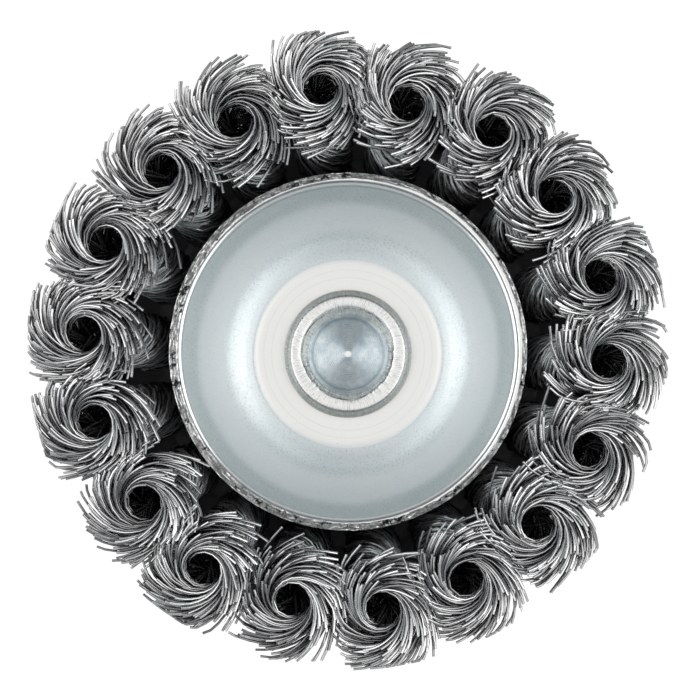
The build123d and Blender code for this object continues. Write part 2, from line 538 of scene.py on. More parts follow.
@dataclass(frozen=True)
class DishFinish(ZincFinish):
    """Zinc plating of the dish, rubbed warm and bright on its flat floor."""

    name: str = "dish_plating"
    rubbed: Colour = (0.9, 0.89, 0.865)
    polished: Colour = (0.97, 0.97, 0.96)
    # Dark colour of the painted shade in rings and lines, with some grime.
    shade_and_grime: Colour = (0.28, 0.3, 0.3)
    # Colour of the painted light on the steep wall.
    pale: Colour = (0.95, 0.99, 1.0)
    # Colour of the painted shade on the heel of the bowl.
    shade: Colour = (0.56, 0.6, 0.61)
    floor_zone: tuple[float, ...] = (15.2 * MM, 16.0 * MM)
    wall_zone: tuple[float, ...] = (19.2 * MM, 21.4 * MM, 24.2 * MM, 25.8 * MM)
    wall_diffuse: float = 0.4
    wall_rough: float = 0.2
    wall_painted_light: float = 0.7
    heel_zone: tuple[float, ...] = (19.4 * MM, 17.2 * MM)
    heel_polish: float = 0.15
    heel_shade: float = 0.38
    lip_zone: tuple[float, ...] = (36.8 * MM, 37.6 * MM)
    lip_polish: float = 0.3
    lip_radius: float = 27.55 * MM
    lip_blur: float = 0.04 * MM
    line_fade: float = 0.1
    line_rate: float = 1400.0
    line_range: tuple[float, float] = (0.4, 1.3)
    mark_fade: tuple[float, float] = (0.25, 0.1)
    mark_rate: float = 90.0
    lip_bands: tuple[tuple[float, ...], ...] = ((39.45, 39.9, 0.85), (34.2, 34.9, 0.45))
    marks: tuple[tuple[float, float], ...] = ((15.9, 0.3), (14.1, 0.16), (12.8, 0.2))

    def lay(self, coat: Coat) -> None:
        """Wire the floor, the heel, the wall and the lip, from the plating up.

        Args:
            coat: Material to wire.
        """
        radius = coat.radius()
        height = coat.height()
        outside = coat.zone(radius, *self.floor_zone)
        heel = coat.zone(radius, *self.heel_zone)
        wall = coat.band(radius, *self.wall_zone)
        lip = coat.zone(height, *self.lip_zone)
        gloss = coat.calc("SUBTRACT", self.satin(coat), coat.times(lip, self.lip_polish))
        gloss = coat.calc("SUBTRACT", gloss, coat.times(heel, self.heel_polish))
        coat.gloss(coat.calc("ADD", gloss, coat.times(wall, self.wall_rough)))
        metallic = coat.calc("SUBTRACT", self.metallic, coat.times(wall, self.wall_diffuse))
        coat.feed(coat.shader["Metallic"], metallic)
        colour = coat.blend(outside, self.rubbed, self.plating(coat))
        colour = coat.blend(lip, colour, self.polished)
        # Painted light: the steep wall is tinted paler.
        colour = coat.blend(coat.times(wall, self.wall_painted_light), colour, self.pale)
        # Painted shade: the heel of the bowl, outside the floor, is darkened.
        colour = coat.blend(coat.times(heel, outside, self.heel_shade), colour, self.shade)
        coat.tint(self.paint_shade_lines(coat, colour, radius, height))

    def paint_shade_lines(self, coat: Coat, colour: Socket, radius: Socket, height: Socket) -> Socket:
        """Draw painted shade, with some grime, in the rings of the floor and in the lines under the
        lip.

        Args:
            coat: Material that it belongs to.
            colour: Colour of the clean surface.
            radius: Distance from the axis.
            height: Height above the foot of the nut.

        Returns:
            The socket with the shaded colour.
        """
        inner, outer = self.mark_fade
        # Painted shade in the rings and the crease of the floor.
        for place, share in self.marks:
            ends = ((place - inner) * MM, place * MM, place * MM, (place + outer) * MM)
            line = coat.band(radius, *ends)
            colour = coat.blend(coat.times(line, share, coat.noise(self.mark_rate)), colour, self.shade_and_grime)
        inside = coat.zone(radius, self.lip_radius + self.lip_blur, self.lip_radius)
        # Painted shade in the lines under the lip.
        for low, high, share in self.lip_bands:
            ends = ((low - self.line_fade) * MM, low * MM, high * MM, (high + self.line_fade) * MM)
            line = coat.band(height, *ends)
            broken = coat.spread(coat.noise(self.line_rate), *self.line_range)
            colour = coat.blend(coat.times(line, inside, share, broken), colour, self.shade_and_grime)
        return colour


@dataclass(frozen=True)
class CupFinish(ZincFinish):
    """Zinc plating of the cup, with painted shade inside it where the knots stand."""

    name: str = "cup_plating"
    # Near-black colour of the painted shade inside the cup.
    inside_shade: Colour = (0.045, 0.046, 0.048)
    floor_z: float = 17.9 * MM
    floor_blur: float = 0.1 * MM
    shade_top: tuple[float, ...] = (36.5 * MM, 33.0 * MM)
    wall_radius: float = 38.4 * MM
    wall_zone: tuple[float, ...] = (0.9 * MM, 1.5 * MM)
    wall_lean: float = math.tan(math.radians(8))

    def lay(self, coat: Coat) -> None:
        """Wire the plating and the painted shade inside the cup.

        Args:
            coat: Material to wire.
        """
        height = coat.height()
        upright = coat.calc("ADD", coat.radius(), coat.times(height, -self.wall_lean))
        wall = self.wall_radius - self.floor_z * self.wall_lean
        outside = coat.zone(upright, wall + self.wall_zone[0], wall + self.wall_zone[1])
        above = coat.zone(height, self.floor_z, self.floor_z + self.floor_blur)
        inside = coat.calc("SUBTRACT", 1.0, outside)
        # Painted shade: the inside of the cup under the knots goes near black.
        shaded_inside = coat.times(inside, above, coat.zone(height, *self.shade_top))
        coat.gloss(self.satin(coat))
        coat.tint(coat.blend(shaded_inside, self.plating(coat), self.inside_shade))


@dataclass(frozen=True)
class ShadedPlateFinish(Finish):
    """Pressed steel of the hidden plate, painted near black as the shade between the knots."""

    name: str = "plate_painted_shade"
    # Painted shade: both colours are near black.
    low: Colour = (0.03, 0.03, 0.032)
    high: Colour = (0.075, 0.075, 0.077)
    patch_rate: float = 240.0
    gloss_rate: float = 900.0
    gloss_range: tuple[float, float] = (0.4, 0.6)
    grain_rate: float = 3000.0
    grain_depth: float = 0.01 * MM
    grain_share: float = 0.5

    def lay(self, coat: Coat) -> None:
        """Wire the near-black patches of painted shade.

        Args:
            coat: Material to wire.
        """
        coat.tint(coat.ramp(coat.noise(self.patch_rate, 4.0), (0.3, self.low), (0.7, self.high)))
        coat.gloss(coat.spread(coat.noise(self.gloss_rate), *self.gloss_range))
        coat.relief(coat.noise(self.grain_rate), self.grain_depth, self.grain_share)


@dataclass(frozen=True)
class ShearedFinish(Finish):
    """Rough grey fracture along the sheared rim of a sheet, with pits in painted shade and specks of
    painted glint.
    """

    name: str = "sheared_edge"
    roughness: float = 0.3
    dark: Colour = (0.42, 0.43, 0.42)
    bright: Colour = (0.97, 0.98, 0.96)
    pit_shade: Colour = (0.05, 0.055, 0.055)
    glint: Colour = (0.98, 0.98, 0.97)
    burr_zone: tuple[float, ...] = (28.5 * MM, 28.7 * MM)
    patch_rate: float = 2200.0
    pit_rate: float = 520.0
    pit_zone: tuple[float, float] = (0.55, 0.61)
    spark_rate: float = 1500.0
    spark_zone: tuple[float, float] = (0.5, 0.58)
    streak_rate: float = 110.0
    streak_depth: float = 0.03 * MM
    grain_rate: float = 2600.0
    grain_depth: float = 0.035 * MM

    def lay(self, coat: Coat) -> None:
        """Wire the grain, the painted shade of the pits and the painted glints along the burr.

        Args:
            coat: Material to wire.
        """
        patches = coat.noise(self.patch_rate, 5.0, 0.75)
        grain = coat.ramp(patches, (0.4, self.dark), (0.62, self.bright))
        # Painted shade: near-black pits.
        pit_shades = coat.zone(coat.noise(self.pit_rate, 4.0, 0.7), *self.pit_zone)
        colour = coat.blend(pit_shades, grain, self.pit_shade)
        # Painted glints: near-white specks along the burr.
        burr = coat.zone(coat.radius(), *self.burr_zone)
        glints = coat.times(burr, coat.zone(coat.noise(self.spark_rate), *self.spark_zone))
        coat.tint(coat.blend(glints, colour, self.glint))
        coat.relief(coat.streaks(self.streak_rate), self.streak_depth)
        coat.relief(coat.noise(self.grain_rate), self.grain_depth)


@dataclass(frozen=True)
class TurnedFinish(Finish):
    """Bright turned steel with fine concentric tool marks."""

    name: str = "turned_steel"
    roughness: float = 0.31
    dark: Colour = (0.5, 0.51, 0.5)
    bright: Colour = (0.74, 0.75, 0.74)
    # Dark colour of the painted shade line, also used for the dull tool marks.
    line: Colour = (0.2, 0.26, 0.28)
    line_zone: tuple[float, ...] = (5.63 * MM, 5.98 * MM, 6.03 * MM, 6.23 * MM)
    line_share: float = 0.0
    mark_share: float = 0.0
    pitch: float = 0.28 * MM
    waver: float = 0.8
    depth: float = 0.002 * MM
    grain: float = 0.004 * MM
    stretch: float = 0.5
    cloud_rate: float = 320.0
    dull_rate: float = 1300.0
    dull_zone: tuple[float, float] = (0.42, 0.62)
    line_rate: float = 160.0
    gloss_rate: float = 2400.0
    gloss_swing: float = 0.2
    grain_rate: float = 3000.0
    grain_share: float = 0.6

    def lay(self, coat: Coat) -> None:
        """Wire the steel, its tool marks and the painted shade line in the corner at the edge of a
        bore.

        Args:
            coat: Material to wire.
        """
        steel = coat.ramp(coat.noise(self.cloud_rate, 4.0), (0.3, self.dark), (0.7, self.bright))
        # Painted shade: a dark line in the corner where the bore's wall meets its bottom.
        line = coat.times(coat.band(coat.radius(), *self.line_zone), self.line_share)
        marks = coat.rings(self.pitch, self.waver)
        dull = coat.zone(coat.noise(self.dull_rate, 4.0), *self.dull_zone)
        dull = coat.times(marks, dull, self.mark_share)
        colour = coat.blend(dull, steel, self.line)
        coat.tint(coat.blend(coat.times(line, coat.noise(self.line_rate)), colour, self.line))
        low, high = ((1 + swing) * self.roughness for swing in (-self.gloss_swing, self.gloss_swing))
        coat.gloss(coat.spread(coat.noise(self.gloss_rate), low, high))
        coat.relief(marks, self.depth)
        coat.relief(coat.noise(self.grain_rate), self.grain, self.grain_share)
        coat.brush_round(self.stretch)


@dataclass(frozen=True)
class BoreFinish(TurnedFinish):
    """Coarser, plated tool marks on the bottom of the blind bore."""

    name: str = "bore_bottom"
    roughness: float = 0.44
    dark: Colour = (0.52, 0.63, 0.68)
    bright: Colour = (0.92, 0.98, 1.0)
    line_share: float = 0.7
    mark_share: float = 0.4
    pitch: float = 0.3 * MM
    depth: float = 0.01 * MM
    grain: float = 0.05 * MM
    stretch: float = 1.0


@dataclass(frozen=True)
class CollarFinish(Finish):
    """Neck steel flared over the dish, with radial streaks from the flaring tool."""

    name: str = "flared_steel"
    roughness: float = 0.32
    dark: Colour = (0.5, 0.5, 0.48)
    bright: Colour = (0.82, 0.82, 0.8)
    # Colour of the darker outer edge.
    outer_dark: Colour = (0.5, 0.49, 0.47)
    worn_zone: tuple[float, ...] = (9.35 * MM, 9.65 * MM)
    # Colour of the crack with its painted shade.
    crack_and_shade: Colour = (0.16, 0.16, 0.155)
    crack_zone: tuple[float, ...] = (7.41 * MM, 7.55 * MM, 7.59 * MM, 7.71 * MM)
    crack_stray: float = 0.5 * MM
    crack_rate: float = 260.0
    crack_range: tuple[float, float] = (0.42, 0.6)
    stray_rate: float = 110.0
    worn_rate: float = 500.0
    worn_range: tuple[float, float] = (0.3, 1.0)
    gloss_rate: float = 1800.0
    gloss_range: tuple[float, float] = (0.2, 0.36)
    streak_rate: float = 52.0
    streak_depth: float = 0.02 * MM
    streak_share: float = 0.6
    grain_rate: float = 2600.0
    grain_depth: float = 0.006 * MM
    grain_share: float = 0.5

    def lay(self, coat: Coat) -> None:
        """Wire the streaks, the darker outer edge and the ragged dark line in the fold, which is a
        crack darkened further by painted shade.

        Args:
            coat: Material to wire.
        """
        streaks = coat.streaks(self.streak_rate)
        steel = coat.ramp(streaks, (0.3, self.dark), (0.48, self.bright))
        patches = coat.spread(coat.noise(self.worn_rate), *self.worn_range)
        # Darker towards the outer edge of the collar.
        outer_dark = coat.times(coat.zone(coat.radius(), *self.worn_zone), patches)
        # Painted shade, with the crack: a ragged dark line in the fold.
        stray = coat.spread(coat.noise(self.stray_rate, 5.0), -self.crack_stray, self.crack_stray)
        crack_and_shade = coat.band(coat.calc("ADD", coat.radius(), stray), *self.crack_zone)
        crack_and_shade = coat.times(crack_and_shade, coat.zone(coat.noise(self.crack_rate, 5.0), *self.crack_range))
        coat.tint(coat.blend(crack_and_shade, coat.blend(outer_dark, steel, self.outer_dark), self.crack_and_shade))
        coat.gloss(coat.spread(coat.noise(self.gloss_rate), *self.gloss_range))
        coat.relief(streaks, self.streak_depth, self.streak_share)
        coat.relief(coat.noise(self.grain_rate), self.grain_depth, self.grain_share)


@dataclass(frozen=True)
class StageFinish(Finish):
    """Plain pale floor that is white to the camera and still takes the shadow."""

    name: str = "floor_white"
    metallic: float = 0.0
    roughness: float = 0.9
    white: Colour = (0.9, 0.9, 0.9)
    glow: float = 1.1
    share: float = 0.85

    def lay(self, coat: Coat) -> None:
        """Mix in a white glow for the camera and for reflections.

        Args:
            coat: Material to wire.
        """
        coat.feed(coat.shader["Base Color"], self.white)
        light = coat.add("ShaderNodeEmission", {"Strength": self.glow})
        path = coat.add("ShaderNodeLightPath", {}).outputs
        seen = coat.calc("ADD", path["Is Camera Ray"], path["Is Glossy Ray"])
        seen = coat.calc("ADD", seen, path["Is Transmission Ray"])
        surface = coat.tree.nodes["Principled BSDF"].outputs["BSDF"]
        inputs = {"Fac": coat.times(seen, self.share), 1: surface, 2: light.outputs["Emission"]}
        mix = coat.add("ShaderNodeMixShader", inputs)
        coat.feed(coat.tree.nodes["Material Output"].inputs["Surface"], mix.outputs["Shader"])


@dataclass
class KnotRing:
    """The ring of twisted wire knots, each a bundle of separate wires."""

    count: int = 18
    first_angle: float = math.radians(-3.1)
    root_z: float = 24.0 * MM
    trim_z: float = 61.75 * MM
    head_radius: float = 39.9 * MM
    tip_z: float = 62.0 * MM
    lean: float = 0.2345
    wires: int = 190
    wire_radius: float = 0.215 * MM
    core_radius: float = 1.9 * MM
    core_widen: float = 0.85 * MM
    core_widen_depth: float = 11.0 * MM
    core_widen_curve: float = 1.5
    rope_radius: float = 4.8 * MM
    root_breadth: float = 0.8
    root_settle: float = 7.0 * MM
    rope_rate: float = 160.0
    throat_lay: float = math.radians(71)
    tip_lay: float = math.radians(54)
    throat_lead: float = 4.5 * MM
    inner_rise: float = 4.2 * MM
    outer_rise: float = 8.5 * MM
    bend: float = math.radians(76)
    inner_tip: float = 5.3 * MM
    outer_tip: float = 11.1 * MM
    outer_drop: float = 2.2 * MM
    head_tilt: float = 0.1
    side_room: float = 6.4 * MM
    side_give: float = 0.5
    inner_give: float = 0.93
    outer_give: float = 0.87
    head_lead: float = 1.25
    reach: float = 49.65 * MM
    edge_shade: float = 0.5
    shade_slack: float = 0.25 * MM
    shade_run: float = 2.4 * MM
    # Height and run of the darkening lower on the rope, which is painted shade with some grime.
    shade_grime_top: float = 46.5 * MM
    shade_grime_run: float = 50.0 * MM
    head_out: tuple[float, ...] = (
        0.4, 0.6, -0.2, 0.5, -0.9, 0.4, -0.7, 0.0, 1.0,
        0.9, 0.9, -0.6, 0.7, -0.2, 0.6, 0.0, -0.1, 0.4,
    )
    head_side: tuple[float, ...] = (
        0.3, -0.7, -0.3, -0.3, -0.2, -0.5, -0.2, -0.3, -0.1,
        -0.1, -0.6, 0.2, -0.1, 0.5, 0.6, 0.2, 0.4, 0.3,
    )
    rope_steps: int = 8
    flare_steps: int = 11
    step_crowd: float = 0.8
    throat_share: float = 0.4
    ease_from: float = 0.3
    lay_limit: float = 1.35
    bury_shade: float = 0.85
    crown_curve: float = 1.25
    tone: tuple[float, float] = (0.52, 0.36)
    start_scatter: float = 0.05
    tip_scatter: float = 0.7
    tip_wave: float = 0.5 * MM
    tip_lobes: int = 3
    tip_grade: float = 0.8
    top_scatter: float = 0.4
    slant_scatter: float = 0.05
    slant_lobes: int = 4
    slant_phase: float = 2.3
    wander: tuple[float, float] = (0.02, 0.12)
    wander_rate: float = 900.0
    stray_share: float = 0.05
    stray_tip: float = 1.6
    stray_slant: tuple[float, float] = (-0.25, 0.12)
    stray_drop: tuple[float, float] = (-0.3, 2.0)
    materials: list[bpy.types.Material] = field(default_factory=list)

    def __post_init__(self) -> None:
        """Make the two materials that all the knots share."""
        self.materials = [WireFinish().paint(), CutEndFinish().paint()]

    def outline(self, share: float, tip: float, top: float) -> list[tuple[float, float, float]]:
        """Side view of one wire's surface: straight up the rope, then bent out over the lip.

        Args:
            share: Place in the bundle, from 0 at the core to 1 at the skin.
            tip: Distance of the cut end from the knot's own axis.
            top: Height of the cut end.

        Returns:
            Triples of distance from the knot's axis, height and lay angle.
        """
        inner = self.core_radius**2
        radius = math.sqrt(inner + (self.rope_radius**2 - inner) * share)
        rise = self.inner_rise + (self.outer_rise - self.inner_rise) * share
        base = top - rise
        rows = []
        widen = self.core_widen * (1 - share) ** 2
        for step in range(self.rope_steps):
            height = self.root_z + (base - self.root_z) * (step / self.rope_steps) ** self.step_crowd
            open_share = max(height - self.trim_z + self.core_widen_depth, 0.0)
            open_share /= base - self.trim_z + self.core_widen_depth
            rows.append((radius + widen * open_share**self.core_widen_curve, height, 0.0))
        mouth = radius + widen
        for step in range(self.flare_steps + 1):
            turn = self.bend * step / self.flare_steps
            out = mouth + (tip - mouth) * (1 - math.cos(turn)) / (1 - math.cos(self.bend))
            height = base + rise * math.sin(turn) / math.sin(self.bend)
            rows.append((out, height, step / self.flare_steps))
        rope_lay = math.atan(self.rope_rate * radius)
        result = []
        for out, height, flare in rows:
            pull = height - base + self.throat_lead
            pull = smooth_step(pull / (self.throat_lead + self.throat_share * rise))
            ease = max(flare - self.ease_from, 0.0) / (1 - self.ease_from)
            lay = rope_lay + (self.throat_lay - rope_lay) * pull
            result.append((out, height, lay - (self.throat_lay - self.tip_lay) * ease))
        return result

    def wire_path(
        self, share: float, start: float, knot: int, dice: random.Random
    ) -> list[tuple[float, float, float, float]]:
        """Centre line of one wire, for a knot that leans out along +X.

        Args:
            share: Place in the bundle, from 0 at the core to 1 at the skin.
            start: Angle of the wire at the root of the rope.
            knot: Which knot, from 0.
            dice: Source of the wire's own small errors.

        Returns:
            The points of the line, from the root to the cut end, each with its share of painted shade
            and grime.
        """
        tip = self.inner_tip + (self.outer_tip - self.inner_tip) * share**self.tip_grade
        wave = self.tip_wave * math.sin(self.tip_lobes * start + knot)
        tip += dice.gauss(0.0, self.tip_scatter) * MM + wave
        top = self.trim_z - self.outer_drop * share - abs(dice.gauss(0.0, self.top_scatter)) * MM
        slant = dice.gauss(1.0, self.slant_scatter)
        slant += self.slant_scatter * math.sin(self.slant_lobes * start + self.slant_phase * knot)
        wander = dice.uniform(*self.wander) * MM
        phase = dice.uniform(0.0, math.tau)
        if dice.random() < self.stray_share:
            tip += dice.uniform(-self.stray_tip, self.stray_tip) * MM
            slant += dice.uniform(*self.stray_slant)
            top -= dice.uniform(*self.stray_drop) * MM
        points = []
        angle, last = start, None
        for out, height, lay in self.outline(share, tip, min(top, self.trim_z)):
            if last:
                run = math.hypot(out - last[0], height - last[1])
                angle -= math.tan(min(lay * slant, self.lay_limit)) * run / ((out + last[0]) / 2)
            last = (out, height)
            rise = height - self.root_z
            out += wander * math.sin(phase + rise * self.wander_rate)
            settle = smooth_step(rise / self.root_settle)
            breadth = self.root_breadth + (1 - self.root_breadth) * settle
            across = out * math.sin(angle) * breadth
            past = max(abs(across) - self.side_room, 0.0)
            across -= math.copysign(past * (1 - self.side_give), across)
            along = out * math.cos(angle)
            bloom = max(out - self.rope_radius, 0.0) / (self.outer_tip - self.rope_radius)
            give = self.inner_give if along < 0 else self.outer_give
            along *= 1 - (1 - give) * min(bloom, 1.0)
            shift = smooth_step(rise / (self.trim_z - self.root_z)) * MM
            across += self.head_side[knot] * shift
            x = self.head_radius - (self.tip_z - height) * self.lean + along
            x += (self.head_out[knot] + self.head_lead) * shift
            far = math.hypot(x, across)
            cut = min(self.reach / far, 1.0)
            z = min(height - self.head_tilt * along * bloom, self.trim_z)
            # Painted shade: darker down in the bundle, lower on the rope and on the head's outer side,
            # with some grime.
            shade = self.shade_and_grime(math.hypot(along, across), height)
            edge = self.edge_shade * smooth_step(along / self.outer_tip) * min(bloom, 1.0)
            points.append((x * cut, across * cut, z, 1 - (1 - shade) * (1 - edge)))
        return points

    def shade_and_grime(self, out: float, height: float) -> float:
        """How far a point of a wire lies down in the bundle, as its share of painted shade with some
        grime.

        Args:
            out: Distance from the knot's own axis.
            height: Height above the foot of the nut.

        Returns:
            Share of painted shade and grime, from 0 on the surface to 1.
        """
        spread = min(max((out - self.inner_tip) / (self.outer_tip - self.inner_tip), 0.0), 1.0)
        cover = self.trim_z - self.outer_drop * spread**self.crown_curve - height
        if out < self.inner_tip:
            hollow = 1 - (out - self.core_radius) / (self.inner_tip - self.core_radius)
            cover -= self.inner_rise * min(max(hollow, 0.0), 1.0) ** 2
        skin = self.rope_radius - out
        buried = min(cover, skin) if height < self.trim_z - self.outer_rise else cover
        # Painted shade where the point lies down in the bundle, and painted shade with grime lower on
        # the rope.
        shade = smooth_step((buried - self.shade_slack) / self.shade_run)
        deep = smooth_step((self.shade_grime_top - height) / self.shade_grime_run)
        return 1 - (1 - self.bury_shade * shade) * (1 - deep)

    def build_knot(self, number: int) -> bpy.types.Object:
        """Model one knot as a curve of many splines and turn it into a mesh.

        Args:
            number: Which knot, from 1.

        Returns:
            The finished piece.
        """
        dice = random.Random(SEED + number)
        curve = bpy.data.curves.new(f"wire_knot_{number:02d}_wires", "CURVE")
        curve.dimensions = "3D"
        curve.bevel_depth = self.wire_radius
        curve.bevel_resolution = 1
        curve.use_fill_caps = True
        turn = self.first_angle + math.tau * (number - 1) / self.count
        cosine, sine = math.cos(turn), math.sin(turn)
        golden = math.pi * (3 - math.sqrt(5))
        tones = []
        shades = []
        for index in range(self.wires):
            share = (index + 0.5) / self.wires
            start = index * golden + dice.gauss(0.0, self.start_scatter)
            path = self.wire_path(share, start, number - 1, dice)
            spline = curve.splines.new("POLY")
            spline.points.add(len(path) - 1)
            for point, (x, y, z, _) in zip(spline.points, path):
                point.co = (x * cosine - y * sine, x * sine + y * cosine, z, 1.0)
            tones.append(min(max(dice.gauss(*self.tone), 0.0), 1.0))
            shades.append([row[3] for row in path])
        piece = bpy.data.objects.new(curve.name, curve)
        bpy.context.scene.collection.objects.link(piece)
        select_only(piece)
        bpy.ops.object.convert(target="MESH")
        piece = bpy.context.view_layer.objects.active
        self.dress(piece, tones, shades)
        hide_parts(f"wire_knot_{number:02d}")
        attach(piece, "root")
        return piece

    def dress(self, piece: bpy.types.Object, tones: list[float], shades: list[list[float]]) -> None:
        """Shade the wires smoothly and give each its tone, its painted shade with grime, and its bright
        ends.

        The caps come first in the mesh, from the last wire to the first, each top before foot.

        Args:
            piece: Mesh of one knot.
            tones: One tone for each wire, in the order of the splines.
            shades: The shares of painted shade and grime along each wire.
        """
        bpy.ops.object.shade_smooth()
        mesh = piece.data
        mesh.materials.clear()
        for material in self.materials:
            mesh.materials.append(material)
        for face in mesh.polygons:
            if len(face.vertices) == 3:
                face.material_index = 1
                face.use_smooth = False
        wires = list(zip(tones, shades))
        rows = [(tone, end) for tone, line in reversed(wires) for end in (line[-1], line[0])]
        rows += [(tone, shade) for tone, line in wires for shade in line]
        around = len(mesh.vertices) // len(rows)
        for index, name in enumerate(("wire_tone", "wire_depth")):
            layer = mesh.attributes.new(name, "FLOAT", "POINT")
            layer.data.foreach_set("value", [row[index] for row in rows for _ in range(around)])

    def build(self) -> list[bpy.types.Object]:
        """Model every knot of the ring.

        Returns:
            The knots, in the order of their numbers.
        """
        return [self.build_knot(number) for number in range(1, self.count + 1)]


@dataclass
class Dish:
    """Inner pressed dish with its coined floor and rough sheared rim."""

    hole_radius: float = 8.6
    seat_z: float = 20.0
    floor_radius: float = 16.0
    land_radius: float = 15.9
    land_sink: float = 0.36
    land_slope: float = 1.45
    land_steps: int = 6
    land_bow: tuple[float, float] = (3.0, 0.02)
    crease_angle: float = 12.5
    crease_lead: float = 0.15
    heel_skip: int = 3
    thickness: float = 1.2
    lower_radius: float = 11.335
    upper_radius: float = 61.34
    break_angle: float = 75.0
    rim_angle: float = 86.0
    rim_z: float = 40.0
    arc_steps: int = 18
    turn_steps: int = 400
    smooth_angle: float = 32.0
    rim_band: float = 0.4
    torn_band: float = 0.35
    rough: float = 0.13
    grain_rate: float = 2.6
    grain_stretch: float = 3.0
    chip_rate: float = 42.0
    chip_share: float = 0.8
    chip_push: float = 0.05
    chip_reach: float = 0.25
    chip_slip: float = 0.8
    wear: float = 0.7
    nudge: float = 0.03
    roll_over: float = 0.24
    roll_even: float = 0.25
    roll_curve: float = 1.5
    burnish: float = 0.86
    burnish_and_light_swing: float = 0.36
    burnish_x: float = 0.94
    burnish_y: float = 0.34
    burnish_waver: float = 0.06
    burnish_rate: float = 9.0
    burnish_fall: float = 0.1
    burnish_blur: float = 0.12
    rim_shares: tuple[float, ...] = (0.06, 0.14, 0.22, 0.3, 0.38, 0.46, 0.54, 0.62, 0.7, 0.8, 0.9, 0.97)
    lip_skip: int = 7
    lip_line: tuple[tuple[float, float], ...] = (
        (0.05, 0.01), (0.15, 0.05), (0.21, 0.13), (0.24, 0.40), (0.32, 0.62),
        (0.40, 0.67), (0.58, 0.71), (0.72, 0.80), (0.77, 1.05), (0.69, 2.5),
    )

    def curve(self, inset: float) -> Profile:
        """Two tangent arcs of the bowl, at a distance inside its outer face.

        Args:
            inset: Distance from the outer face, in millimetres.

        Returns:
            Pairs of radius and height, from the floor up to the rim.
        """
        first = (self.floor_radius, self.seat_z + self.lower_radius)
        turn = math.radians(self.break_angle)
        grow = self.upper_radius - self.lower_radius
        second = (first[0] - grow * math.sin(turn), first[1] + grow * math.cos(turn))
        points = []
        for index in range(self.arc_steps + 1):
            angle = turn * index / self.arc_steps
            reach = self.lower_radius - inset
            points.append((first[0] + reach * math.sin(angle), first[1] - reach * math.cos(angle)))
        for index in range(1, self.arc_steps + 1):
            share = index / self.arc_steps
            angle = turn + (math.radians(self.rim_angle) - turn) * share
            reach = self.upper_radius - inset
            points.append((second[0] + reach * math.sin(angle), second[1] - reach * math.cos(angle)))
        return points

    def profile(self) -> Profile:
        """Draw the whole section of the sheet.

        Returns:
            Pairs of radius and height, in metres.
        """
        outer = self.curve(0.0)
        inner = self.curve(self.thickness)
        edge, lip = outer[-1], inner[-1]
        across = (lip[0] - edge[0], lip[1] - edge[1])
        rim = [(edge[0] + across[0] * share, edge[1] + across[1] * share) for share in self.rim_shares]
        lip_line = [(lip[0] - inward, lip[1] - down) for inward, down in self.lip_line]
        wall = inner[-self.lip_skip : self.heel_skip : -1]
        section = [(self.hole_radius, self.seat_z)] + outer + rim + lip_line + wall + self.floor()
        return [(radius * MM, height * MM) for radius, height in section]

    def floor(self) -> Profile:
        """Section of the coined floor, from the crease at its edge in to the hole.

        Returns:
            Pairs of radius and height.
        """
        floor_z = self.seat_z + self.thickness
        low_z = floor_z - self.land_sink
        slope = math.radians(self.crease_angle)
        reach = self.lower_radius - self.thickness
        floor = [(self.floor_radius + reach * math.sin(slope), floor_z + reach * (1 - math.cos(slope)))]
        crease = self.land_radius + self.crease_lead
        crease_z = floor[0][1] - (floor[0][0] - crease) * math.tan(slope)
        for step in range(self.land_steps + 1):
            share = step / self.land_steps
            fall = (crease_z - low_z) * smooth_step(share)
            floor.append((crease - self.land_slope * share, crease_z - fall))
        inward, down = self.land_bow
        return floor + [(self.land_radius - inward, low_z - down), (self.hole_radius, low_z)]

    def tear_rim(self, piece: bpy.types.Object) -> None:
        """Roughen the outer part of the sheared edge and leave a burr on it.

        Args:
            piece: The spun sheet.
        """
        outer = self.curve(0.0)[-1][0]
        for vertex in piece.data.vertices:
            x, y, z = vertex.co / MM
            if z < self.rim_z - self.rim_band:
                continue
            radius = math.hypot(x, y)
            share = (outer - radius) / self.thickness
            turn = Vector((x, y, 0.0)) / radius
            torn = smooth_step((self.torn_share(turn) - share) / self.burnish_blur + 0.5)
            grain = noise.noise(Vector((x, y, radius * self.grain_stretch)) * self.grain_rate)
            chips = noise.noise(turn * self.chip_rate + Vector((0.0, 0.0, radius * self.chip_slip)))
            drop = self.rough * (grain + self.chip_share * chips - self.wear) * torn
            drop -= self.burnish_fall * (1 - torn) * max(share, 0.0)
            roll = self.roll_over * (self.roll_even + (1 - self.roll_even) * abs(turn.y))
            drop -= roll * (1 - min(share, 1.0)) ** self.roll_curve * torn
            push = self.chip_push * chips * smooth_step(1 - share / self.chip_reach)
            vertex.co = (turn * (radius + push - self.nudge) + Vector((0.0, 0.0, z + drop))) * MM

    def torn_share(self, turn: Vector) -> float:
        """Share of the sheared edge that is torn and not burnished, in one direction; the burnish is
        wider towards +X and a little +Y, partly real and partly painted light that makes that side of
        the rim lighter.
        """
        # Partly real burnish, partly painted light: the burnished band widens towards +X and a little
        # +Y.
        swing = self.burnish_and_light_swing * (self.burnish_x * turn.x + self.burnish_y * turn.y)
        return self.burnish - swing + self.burnish_waver * noise.noise(turn * self.burnish_rate)

